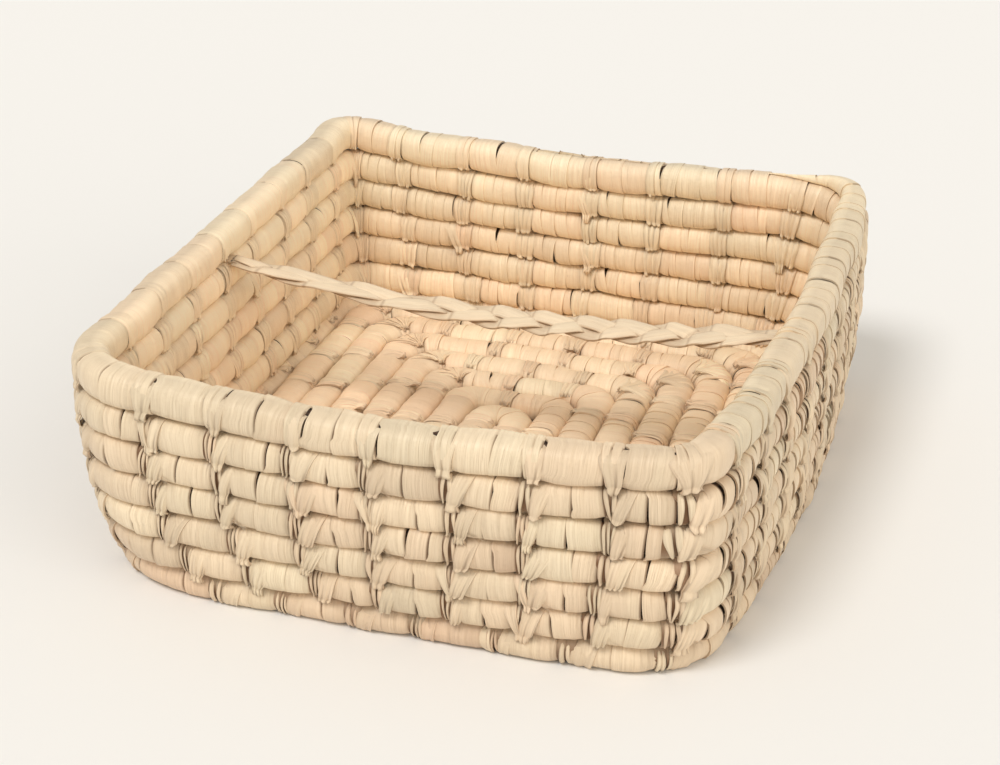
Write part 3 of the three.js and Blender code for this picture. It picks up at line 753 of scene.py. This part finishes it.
def stitch_shares(row, leg):
    if leg % 2 == 1:
        return [0.5] if row > 2 else []
    length = leg_length(RIM_ROW if row > FLOOR_TURNS else row, leg)
    if length < 0.6 * STITCH_PITCH:
        return []
    count = max(1, round(length / STITCH_PITCH))
    shift = SHIFT * (-1) ** row / count if row < FLOOR_TURNS else 0
    return [(j + 0.5) / count + shift for j in range(count)]


def all_stitches():
    stitches = []
    for key in range(FIRST_KEY, RIM_KEY + LEGS):
        row, leg = divmod(key, LEGS)
        length = leg_length(row, leg)
        if length < SHORTEST_LEG:
            continue
        for share in stitch_shares(row, leg):
            if key >= RIM_KEY + RIGHT_SIDE and (key > RIM_KEY + RIGHT_SIDE or share > 0.55):
                continue
            place = STARTS[key] + share * length + normal(0, STITCH_SPREAD)
            stitches.append((place, row, leg))
    return stitches


pieces = {turn_name(row): Piece(f"leaf_{turn_name(row)}", turn_name(row), LEAF)
          for row in range(RIM_ROW + 1)}
STITCHES = all_stitches()
TAPER_END = LAST_PLACE - 2
# Width of the strips on each leg: broad along the front, narrower elsewhere
STRIP_WIDTHS = ((3.2, 5.5), (4, 6), (4.5, 7), (6, 9), (6.5, 11), (5, 8), (3.5, 6), (3.5, 6))
FLOOR_STRIPS = (4.5, 8)
RIM_STRIP_SHARE, LEAST_RIM_STRIP = 1.5, 7.5
FIRST_LEAVES = []  # of the stretch before the first stitch and of those after each stitch
# Share of the wraps with a slit, its greatest width past the overlap, and its side of the section
SLITS = {"wall": (0.58, 0.55, 1.4), "back": (0.06, 0.2, 4.6), "rim": (0.6, 0.85, 2.0),
         "rim_side": (0.1, 0.15, 1.5), "right": (0.4, 0.55, 1.4), "floor": (0.1, 0.6, 4.7),
         "left": (0.28, 1.25, 4.6), "floor_left": (0.16, 1.1, 4.7)}
EVEN_SLITS = ("left", "floor", "floor_left")
# The lips of the wraps that are flatter than those of the wall
LIP_SHARES = {"back": 0.45, "floor": 0.45, "floor_left": 0.45, "rim_side": 0.4, "right": 0.7}
RIM_BRIGHTNESS = 0.97


def warmth_of(row):
    """Lower rows and the floor are a little pinker."""
    return 0.30 + 0.30 * (row < RIM_ROW - 2) * RANDOM.random() + 0.14 * (row <= FLOOR_TURNS)


def zone_width(row):
    """Length of coil that a stitch draws in."""
    return 5.4 if FLOOR_TURNS <= row < RIM_ROW else 4.4


def row_and_leg(place):
    keys = range(FIRST_KEY, RIM_KEY + LEGS + 1)
    key = max((key for key in keys if place >= STARTS[key]), default=0)
    return min(key // LEGS, RIM_ROW), key % LEGS


def strip_width(row, leg):
    width = uniform(*STRIP_WIDTHS[leg])
    if row < FLOOR_TURNS:
        return uniform(*FLOOR_STRIPS)
    return max(RIM_STRIP_SHARE * width, LEAST_RIM_STRIP) if row == RIM_ROW else width


def slit_kind(row, leg):
    kind = {0: "back", LEFT_SIDE: "left", RIGHT_SIDE: "right"}.get(leg, "wall")
    if row == RIM_ROW:
        return "rim" if kind == "wall" else "rim_side"
    if row > FLOOR_TURNS:
        return kind
    return "floor_left" if kind == "left" and row < FLOOR_TURNS else "floor"


def wrap_at_stitch(start, end, row):
    """Two narrow wraps, drawn in on the outside."""
    on_rim = row == RIM_ROW
    leaf = FIRST_LEAVES[-1].again() if on_rim else Leaf(warmth_of(row))
    if end - start > 3:
        middle = start + (end - start) * uniform(0.4, 0.6)
        for one, other in ((start, middle), (middle, end)):
            sink = uniform(0.1, 0.2) if on_rim else uniform(0.7, 0.95)
            slit = OVERLAP + uniform(0.2, 0.7) if RANDOM.random() < 0.6 else 0
            lip = 0.06 if on_rim else uniform(0.05, 0.2)
            wrap(pieces[turn_name(row)], leaf, one, other, (one - 3, other + 3),
                 normal(0, 0.04), lip, sink, 0 if on_rim else slit, normal(1.2, 0.3))
    return leaf


def wrap_between(first, last):
    """Broad wraps from one stitch to the next."""
    length = last - first
    row, leg = row_and_leg((first + last) / 2)
    leaf = Leaf(warmth_of(row), RIM_BRIGHTNESS if row == RIM_ROW else 1.0)
    FIRST_LEAVES.append(leaf)
    count = max(1, round(length / strip_width(row, leg)))
    uneven = np.r_[0, uniform(-0.25, 0.25, count - 1), 0]
    edges = first + length * (np.arange(count + 1) + uneven) / count
    kind = slit_kind(row, row_and_leg(first)[1])
    share, widest, slit_side = SLITS[kind]
    for one, other in zip(edges[:-1], edges[1:]):
        if one > first and RANDOM.random() < 0.25:
            leaf = Leaf(leaf.warmth, leaf.brightness)
        chance = RANDOM.random()
        slit = 0
        if chance < share * (1 if one > first else 1.5):
            slit = OVERLAP + widest * uniform(0.3, 1)
        if row == RIM_ROW and row_and_leg(one)[1] != FRONT_SIDE:
            slit = 0
        side = slit_side + normal(0, 0.2 if kind in EVEN_SLITS else 0.6)
        lip = uniform(0.2, 0.36) if chance < 0.45 else uniform(0.03, 0.1)
        lip = lip * LIP_SHARES.get(kind, 1)
        lean = normal(0.05, 0.08)
        wrap(pieces[turn_name(row)], leaf, one, other, (first, last), lean, lip, 0, slit, side)


def cover_coil():
    """Broad wraps between the stitches, and narrower ones at them."""
    bounds = [(PLACES[0] - 2, PLACES[0] + 0.2, 0)]
    for place, row, _ in STITCHES:
        bounds.append((place - zone_width(row), place + 0.1, row))
    bounds.append((TAPER_END, TAPER_END, RIM_ROW))
    for (start, first, row), (last, _, _) in zip(bounds[:-1], bounds[1:]):
        leaf = wrap_at_stitch(start, first, row)
        if last - first < 2:
            FIRST_LEAVES.append(leaf)
        else:
            wrap_between(first, last)


def rim_fan(piece, leaf, place):
    """The V-shaped leaf of a stitch on the rim."""
    tip = place - zone_width(RIM_ROW) * uniform(0.35, 0.6)
    fan_leaf(piece, leaf, tip, tip - uniform(3, 5), tip + uniform(3.5, 6.5), True,
             uniform(0.25, 0.45), uniform(-0.1, 0.15), uniform(1.45, 1.65),
             RANDOM.choice((-0.45, -0.3, 0.15)), uniform(2.6, 4.0), RANDOM.integers(1, 3))


def pleats(piece, leaf, row, place, outside):
    """Narrow strips side by side over the whole face of the row, ending in the groove."""
    zone = zone_width(row)
    across = zone * uniform(0.95, 1.25)
    count = int(RANDOM.integers(3, 5))
    slot = across / count
    top = 0.28 if row == RIM_ROW else -0.05
    for strip in range(count):
        middle = place - zone / 2 - across / 2 + slot * (strip + 0.5)
        from_middle = (strip + 0.5) / count - 0.5
        narrow_strip(piece, leaf, middle, slot * uniform(1.0, 1.25), outside,
                     2.2 * from_middle + normal(0, 0.25), uniform(0.0, 0.2),
                     top + uniform(0, 0.25), uniform(1.3, 1.52), 0.2)


def corner_pleats(piece, row, middle):
    """Folded leaves that meet at a corner of the floor, spread like a star over the row."""
    leaf = Leaf(warmth_of(row))
    for fold in range(-3, 3):
        left = middle + 3.3 * fold + normal(0, 0.4)
        fan_leaf(piece, leaf, middle + 0.55 * (fold + 0.5), left, left + uniform(3.3, 4.6), False,
                 uniform(0.35, 0.8), uniform(0.0, 0.2), uniform(1.25, 1.45), uniform(0.1, 0.45),
                 uniform(1.3, 1.9), 1, 0.7)


# Ranges of the fans' sizes, inside and outside the basket
FAN_BREADTHS, FAN_HEIGHTS = ((3, 6.5), (3.5, 8.5)), ((0.2, 0.45), (0.45, 0.95))
FAN_STARTS = ((-0.05, 0.2), (-0.08, 0.02))
FAN_REACHES = (1.32, 1.44, 1.6, 1.8)


def side_fan(piece, leaf, row, place, loose, outside):
    """The first wrap after a stitch, folded together to a tip that hooks over the row below."""
    zone = zone_width(row)
    tip = place - uniform(0.3, 2.3)
    broad, high = (uniform(*sizes[outside]) for sizes in (FAN_BREADTHS, FAN_HEIGHTS))
    reach = RANDOM.choice(FAN_REACHES)
    start = uniform(*FAN_STARTS[outside])
    lift = uniform(0.15, 0.6) if loose else uniform(-0.5, -0.3)
    left = place - uniform(0.4, 1.4)
    tip_width = uniform(4.4, 5.6) - 1.6 * reach / 1.4
    fan_leaf(piece, leaf, tip, left, place + broad, outside, high, start, reach, lift, tip_width,
             RANDOM.integers(1, 4))
    if outside and RANDOM.random() < 0.15:
        wide = uniform(1.5, 3.5)
        fan_leaf(piece, leaf.again(), tip - 1.6, place - zone - wide, place - zone + 1.4, outside,
                 high * 0.8, start, 1.6, lift, 2.0, 1)
    if outside and RANDOM.random() < 0.2:
        fray(piece, leaf, tip + 1)


def fray(piece, leaf, place):
    """A few torn fibres that stand off the lower edge of a fan."""
    fibre_width = 0.22
    for _ in range(int(RANDOM.integers(4, 8))):
        long = uniform(1.5, 4.5)
        t = np.linspace(0, 1, 6)[None, :]
        side = np.array([[-0.5], [0.5]])
        start = place + uniform(0, 2.5)
        s = start + long * t + fibre_width * side * (1 - 0.8 * t)
        q = uniform(0.75, 0.95) + uniform(0.1, 0.4) * t ** 1.5 + 0.03 * side
        lift = uniform(0.3, 0.6) + uniform(-0.1, 0.7) * t + 0 * side
        points = stitch_path(s, q, lift, True)
        grain = leaf.grain(side * 0.3, t * long)
        piece.add(points, leaf.tone(points, 0.15), grain, flip=True)


def sew_coil():
    """Narrow strips and fans at every stitch, outside and inside."""
    bundle_width = 3.9
    for (place, row, leg), beside in zip(STITCHES, FIRST_LEAVES[1:]):
        piece = pieces[turn_name(row)]
        zone = zone_width(row)
        corner = leg % 2 == 1
        pleats(piece, Leaf(warmth_of(row)), row, place, False)
        if row == RIM_ROW:
            rim_fan(piece, beside.again(), place)
            continue
        if corner and row < FLOOR_TURNS:
            corner_pleats(piece, row, place - zone / 2)
        elif corner or RANDOM.random() < 0.2:
            side_fan(piece, beside.again(), row, place, RANDOM.random() < 0.4, False)
        if row < FLOOR_TURNS:
            pleats(piece, Leaf(warmth_of(row)), row, place, True)
            continue
        count = int(RANDOM.choice((2, 3, 3)))
        slot = bundle_width / count
        leaf = Leaf(warmth_of(row))
        for strip in range(count):
            middle = place - zone + 0.35 + slot * (strip + 0.5)
            broad = slot * uniform(0.62, 0.9)
            narrow_strip(piece, leaf, middle, broad, True, normal(0.3, 0.6), uniform(-0.3, 0.2),
                         uniform(-0.06, 0.1), uniform(1.3, 1.5), uniform(0.3, 0.6))
        side_fan(piece, beside.again(), row, place, RANDOM.random() < 0.5, True)


cover_coil()
sew_coil()

# The bundle of stalks inside, seen only through the slits; its dark brown is painted shade for the
# slits
STALKS_ROUND = 40
STALK_TONES = (0.4, 1.7)  # by turns


def core_piece():
    piece = Piece("stalks_in_coil", "core_bundle", STALKS)
    end = STARTS[RIM_KEY + RIGHT_SIDE] + leg_length(RIM_ROW, RIGHT_SIDE) / 3
    s = np.arange(PLACES[0] + 3, end, 2 * STATION)[:, None]
    v = np.arange(STALKS_ROUND)[None, :] / STALKS_ROUND
    down, up = at(s, GROOVES)
    angle = down + v * TURN
    to_down, to_up = (np.abs((angle - groove + math.pi) % TURN - math.pi) for groove in (down, up))
    at_groove = np.exp(-(np.minimum(to_down, to_up) / 0.5) ** 2)
    points = lay(s, angle, -1.35 + 1.1 * at_groove + 0.12 * np.cos(v * TURN * 9))
    tone = np.zeros(points.shape)
    tone[..., 0] = np.resize(STALK_TONES, STALKS_ROUND)
    grain = np.stack(np.broadcast_arrays(v * ROUND_LENGTH, s, 0), -1)
    piece.add(points, tone, grain, closed=True)
    return piece


# The plaited strap
STRAND_WIDTH, STRAND_THICKNESS, PLAIT_SWING, PLAIT_HALF_WIDTH = 6.6, 0.95, 3.2, 5.5
STRAND_STEPS, STRAND_ROUND = 420, 28
STRAP_ROLL = math.radians(12)
STRAP_SAG, GATHER_LENGTH, GATHER_SHARE, GATHER_LEFT = 7, 16, 0.7, 0.86
STRAP_CLEARANCE, TAIL_DEPTH = 0.5, 4.6
STRAP_TURNS, MORE_TURNS = 2.6, 0.75  # of the plait, and how many more its right part has
POINTED = 0.96  # how near a strand's course is to a zigzag
CROSSING_BREADTH, CROSSING_LAG, EDGE_TURN = 0.2, 0.3, 0.25


def strap_end(leg):
    """Where a strand stops, the rim's face, the way inward, and the height of the groove."""
    key = RIM_KEY + leg
    middle = np.array([0.5])
    rim = crossing(key, middle)[0][0]
    below, _ = crossing(key - LEGS, middle)
    place = np.array([STARTS[key - LEGS] + leg_length(RIM_ROW - 1, leg) / 2])
    groove = below[0][2] + at(place, [13])[0][0] + ROW_GAP / 2
    inward = -np.sign(rim[0])
    face = rim[0] + inward * HALF
    return face + inward * STRAP_CLEARANCE, face, inward, groove


LEFT_END, RIGHT_END = strap_end(LEFT_SIDE), strap_end(RIGHT_SIDE)
STRAP_SPAN = RIGHT_END[0] - LEFT_END[0]
STRAP_HEIGHT = (LEFT_END[3] + RIGHT_END[3]) / 2


def over_or_under(angle, side):
    """1 where a strand lies over another and -1 where under, at a side of it from -1 to 1."""
    phase = (angle + math.pi / 2) % TURN
    mirrored = phase >= math.pi
    phase = np.where(mirrored, phase - math.pi, phase) - math.pi / 2
    toward = np.where(mirrored, -side, side)
    middle = -np.tanh((phase + CROSSING_LAG * toward) / CROSSING_BREADTH)
    from_edge = np.tanh((phase + math.pi / 2) / EDGE_TURN)
    to_edge = np.tanh((math.pi / 2 - phase) / EDGE_TURN)
    return middle * np.where(phase < 0, from_edge, to_edge)


def strand_piece(number):
    """One flat ribbon of the plait, laid over and under the two others."""
    piece = Piece(f"plait_strand_{number}", f"strap_strand_{number}", STRAP_LEAF)
    leaf = Leaf(0.45, 1.0)
    leaf.brightness = 1.0 + 0.02 * (number - 2)
    share = np.linspace(0, 1, STRAND_STEPS + 1)[:, None]
    along = share * STRAP_SPAN
    to_end = np.minimum(along, STRAP_SPAN - along)
    gather = GATHER_SHARE + (1 - GATHER_SHARE) * smooth(to_end / GATHER_LENGTH)
    gather = gather * (GATHER_LEFT + (1 - GATHER_LEFT) * smooth(share, 0.1, 0.55))
    turns = STRAP_TURNS * share + MORE_TURNS * smooth(share, 0.4, 1.0)
    angle = TURN * (turns + 0.06 * wave(along, 2, 120, 60)) + (number - 1) * TURN / 3
    v = np.arange(STRAND_ROUND)[None, :] / STRAND_ROUND
    circle = v * TURN
    side = np.sign(np.cos(circle)) * np.abs(np.cos(circle)) ** 0.85
    half_width = STRAND_WIDTH / 2 * (1 + 0.06 * wave(along, 3, 45, 15))
    swing = np.arcsin(POINTED * np.sin(angle)) / math.asin(POINTED)
    y = np.clip(PLAIT_SWING * swing + half_width * side, -PLAIT_HALF_WIDTH, PLAIT_HALF_WIDTH)
    layer = 0.8 * STRAND_THICKNESS * over_or_under(angle + 0 * side, side + 0 * angle)
    flat = np.sign(np.sin(circle)) * (1 - side ** 2)
    thick = STRAND_THICKNESS * (0.4 * np.sin(circle) + 0.3 * flat)
    pleat = 0.09 * np.cos(side * 7 + 0.06 * along + 2 * number) + 0.06 * np.cos(side * 17 + number)
    z = layer + thick + pleat * (np.sin(circle) > 0)
    roll = STRAP_ROLL * smooth(share, 0.05, 0.35) * smooth(1 - share, 0, 0.08)
    y, z = y * gather, z * gather
    sag = STRAP_SAG * (1 - (2 * share - 1) ** 2)
    points = np.stack([
        LEFT_END[0] + along + 0 * v,
        y * np.cos(roll) - z * np.sin(roll),
        STRAP_HEIGHT - sag + y * np.sin(roll) + z * np.cos(roll),
    ], -1)
    # Painted shade: dark lines at the ribbon's edges and where strands cross, and the parts under
    # another strand darker
    crossing_line = np.exp(-(layer / 0.16) ** 2)
    painted_shade = 0.6 * np.abs(side) ** 10 + 0.25 * smooth(-layer, 0.1, 0.7) + 0.45 * crossing_line
    tone = leaf.tone(points, np.clip(painted_shade, 0, 0.8))
    piece.add(points, tone, leaf.grain(side * STRAND_WIDTH / 2, along), flip=True, closed=True)
    for end, flip in ((0, False), (-1, True)):
        ring = points[end]
        cap = np.stack([ring, np.broadcast_to(ring.mean(0), ring.shape)])
        piece.add(cap, leaf.tone(cap, 0.5), leaf.grain(0, 0), flip=flip, closed=True)
    return piece


def tail_piece(side, end):
    """The strands' ends, folded flat and tucked into the groove under the rim."""
    start, face, inward, height = end
    piece = Piece(f"tucked_ends_{side}", f"strap_tail_{side}", STRAP_LEAF)
    tail_points, overlap = 12, 0.15
    spacing, tail_half_width, tail_half_thickness = 1.75, 1.35, 0.5
    for strand in range(3):
        leaf = Leaf(0.35, 0.97)
        t = np.linspace(0, 1, tail_points)[:, None]
        v = np.arange(tail_points)[None, :] / tail_points
        depth_in = face - inward * TAIL_DEPTH * 0.95
        x = (start - inward * overlap) + (depth_in - start) * t + 0 * v
        circle = v * TURN
        half_width = tail_half_width * (1 - 0.3 * t)
        y = (strand - 1) * spacing * (1 - 0.35 * t) + half_width * np.cos(circle)
        raised = tail_half_thickness * np.sin(circle) + 0.25 * (strand == 1)
        z = height + raised * (1 - 0.45 * t)
        points = np.stack([x, y, z], -1)
        # Painted shade, darker as the ends go into the groove
        tone = leaf.tone(points, 0.15 + 0.5 * t)
        grain = leaf.grain(np.cos(circle) * 1.3, t * 5)
        piece.add(points, tone, grain, flip=inward < 0, closed=True)
    return piece


def place_pieces():
    for piece in pieces.values():
        made = piece.make()
        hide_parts(piece.node)
        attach(made, "basket")
    core = core_piece()
    made = core.make()
    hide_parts(core.node)
    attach(made, "basket")
    for number in (1, 2, 3):
        strand = strand_piece(number)
        made = strand.make()
        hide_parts(strand.node)
        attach(made, "strap")
    for side, end in (("left", LEFT_END), ("right", RIGHT_END)):
        tail = tail_piece(side, end)
        made = tail.make()
        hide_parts(tail.node)
        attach(made, "basket")


place_pieces()

# Floor and light
FLOOR_METRES = 6.0
FLOOR_COLOUR = srgb(239, 238, 236)
SKY_COLOUR, SKY_STRENGTH = (1.0, 0.955, 0.88, 1), 0.61
# Energy, spread in degrees, colour and direction of each light
LIGHTS = {
    "key": (1.36, 20, (1.0, 1.0, 1.0), (-0.22, -0.62, 1.0)),
    "fill": (0.95, 60, (1.0, 0.96, 0.88), (0.85, -0.5, 0.4)),
}


def floor_and_light():
    size = FLOOR_METRES
    mesh = bpy.data.meshes.new("floor")
    mesh.from_pydata([(-size, -size, 0), (size, -size, 0), (size, size, 0), (-size, size, 0)], [],
                     [(0, 1, 2, 3)])
    floor = add_object("floor", mesh)
    material = bpy.data.materials.new("pale_floor")
    material.use_nodes = True
    shader = material.node_tree.nodes["Principled BSDF"]
    looks = {"Base Color": FLOOR_COLOUR, "Roughness": 1.0, "Specular IOR Level": 0.0}
    for socket, value in looks.items():
        shader.inputs[socket].default_value = value
    mesh.materials.append(material)
    world = bpy.data.worlds.new("studio")
    world.use_nodes = True
    background = world.node_tree.nodes["Background"]
    background.inputs["Color"].default_value = SKY_COLOUR
    background.inputs["Strength"].default_value = SKY_STRENGTH
    bpy.context.scene.world = world
    for name, (energy, spread, colour, direction) in LIGHTS.items():
        light = bpy.data.lights.new(name, "SUN")
        light.color = colour
        light.energy = energy
        light.angle = math.radians(spread)
        lamp = add_object(name, light)
        lamp.rotation_euler = Vector(direction).to_track_quat("Z", "Y").to_euler()
    bpy.context.scene.view_settings.view_transform = "Standard"


floor_and_light()
